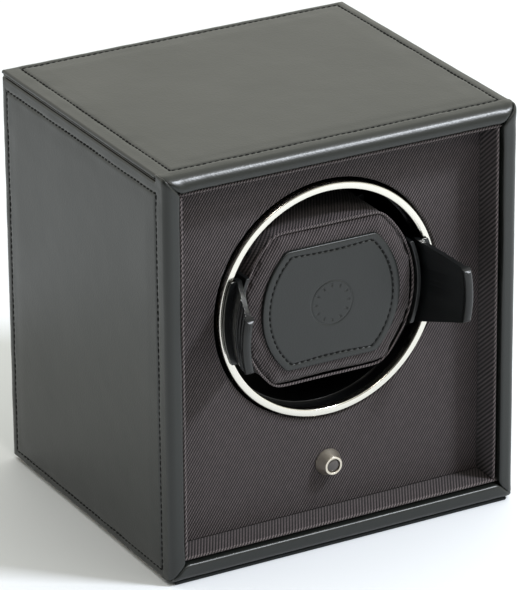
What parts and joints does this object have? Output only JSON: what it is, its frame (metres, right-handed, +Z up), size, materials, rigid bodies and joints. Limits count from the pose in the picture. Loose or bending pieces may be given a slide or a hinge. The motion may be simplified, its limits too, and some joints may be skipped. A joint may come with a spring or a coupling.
{
  "type": "watch winder box",
  "caption": "Leather-covered box with a fabric-lined recess, a motor-turned drum with a bright trim ring, and a padded watch cuff with squeeze levers that slides out.",
  "frame": {"origin": "centre of the underside of the case's base pad", "axes": "+Z up, the open front faces -Y, +X to the right as seen from the front"},
  "size_m": [0.146, 0.1387, 0.159],
  "materials": {
    "leather": "green-black grained bonded leather",
    "twill": "warm grey diagonal twill",
    "fibreboard": "raw fibreboard",
    "base_felt": "short felt",
    "black_plastic": "moulded, fine satin",
    "gloss_black_plastic": "moulded, smooth",
    "grey_plastic": "moulded",
    "chrome": "polished",
    "nickel": "satin nickel plate",
    "steel": "turned",
    "spring_steel": "drawn wire",
    "bronze": "turned",
    "nylon": "moulded",
    "battery_can": "plain printed sleeve",
    "circuit_board": "solder mask",
    "wire_pvc": "wire insulation",
    "button_plastic": "polished dark lens"
  },
  "bodies": {
    "box": {"carcass_top": "fibreboard", "carcass_bottom": "fibreboard", "carcass_left": "fibreboard", "carcass_right": "fibreboard", "rear_board": "fibreboard", "leather_top": "leather", "leather_left": "leather", "leather_right": "leather", "leather_back": "leather", "rim_top": "leather", "rim_bottom": "leather", "rim_left": "leather", "rim_right": "leather", "base_pad": "base_felt", "liner_top": "twill", "liner_bottom": "twill", "liner_left": "twill", "liner_right": "twill", "baffle_board": "twill", "chassis_standoffs": "black_plastic", "chassis_plate": "grey_plastic", "chassis_screws": "steel", "bearing_bush": "bronze", "gearmotor": "steel", "motor_screws": "steel", "battery_tray": "black_plastic", "battery_left": "battery_can", "battery_right": "battery_can", "battery_contacts": "spring_steel", "door_frame": "black_plastic", "door_hinge_pin": "steel", "dc_jack": "black_plastic", "dc_jack_pin": "bronze", "dc_jack_nut": "nickel", "control_board": "circuit_board", "board_components": "black_plastic", "drum_sensor": "black_plastic", "wire_leads": "wire_pvc", "button_bezel": "nickel", "button_nut": "nickel", "switch_body": "black_plastic"},
    "drum": {"drum_cup": "gloss_black_plastic", "drum_ring": "chrome", "drum_shaft": "steel", "drum_gear": "nylon", "shaft_clip": "spring_steel", "drum_magnet": "steel"},
    "motor_rotor": {"motor_shaft": "steel", "motor_pinion": "bronze"},
    "cuff": {"cuff_core": "black_plastic", "cuff_cushion": "twill", "cuff_patch": "leather", "cuff_cheek_left": "black_plastic", "cuff_cheek_right": "black_plastic", "lever_pins": "steel", "lever_springs": "spring_steel"},
    "lever_left": {"lever_left": "black_plastic"},
    "lever_right": {"lever_right": "black_plastic"},
    "button": {"button_cap": "button_plastic"},
    "battery_door": {"battery_door": "black_plastic"}
  },
  "joints": [
    {"name": "drum_spin", "type": "hinge", "parent": "box", "child": "drum", "pos_m": [0, 0, 0.0934], "axis": [0, 1, 0], "continuous": true},
    {"name": "pinion_spin", "type": "hinge", "parent": "box", "child": "motor_rotor", "pos_m": [0.0256, 0, 0.0678], "axis": [0, 1, 0], "continuous": true},
    {"name": "cuff_slide", "type": "slide", "parent": "drum", "child": "cuff", "axis": [0, -1, 0], "range_m": [0, 0.045]},
    {"name": "lever_left_squeeze", "type": "hinge", "parent": "cuff", "child": "lever_left", "pos_m": [-0.0376, -0.0145, 0.0934], "axis": [0, 0, 1], "range_deg": [0, 1.8], "stiffness_Nm_per_rad": 1.5, "springref_deg": -5.73},
    {"name": "lever_right_squeeze", "type": "hinge", "parent": "cuff", "child": "lever_right", "pos_m": [0.0376, -0.0145, 0.0934], "axis": [0, 0, -1], "range_deg": [0, 1.8], "stiffness_Nm_per_rad": 1.5, "springref_deg": -5.73},
    {"name": "button_press", "type": "slide", "parent": "box", "child": "button", "axis": [0, 1, 0], "range_m": [0, 0.0012], "stiffness_N_per_m": 600, "springref_m": -0.0008},
    {"name": "battery_door_swing", "type": "hinge", "parent": "box", "child": "battery_door", "pos_m": [0, 0.0617, 0.0484], "axis": [1, 0, 0], "range_deg": [0, 95]}
  ],
  "couplings": [
    {"joint": "pinion_spin", "follows": "drum_spin", "ratio": -5}
  ]
}
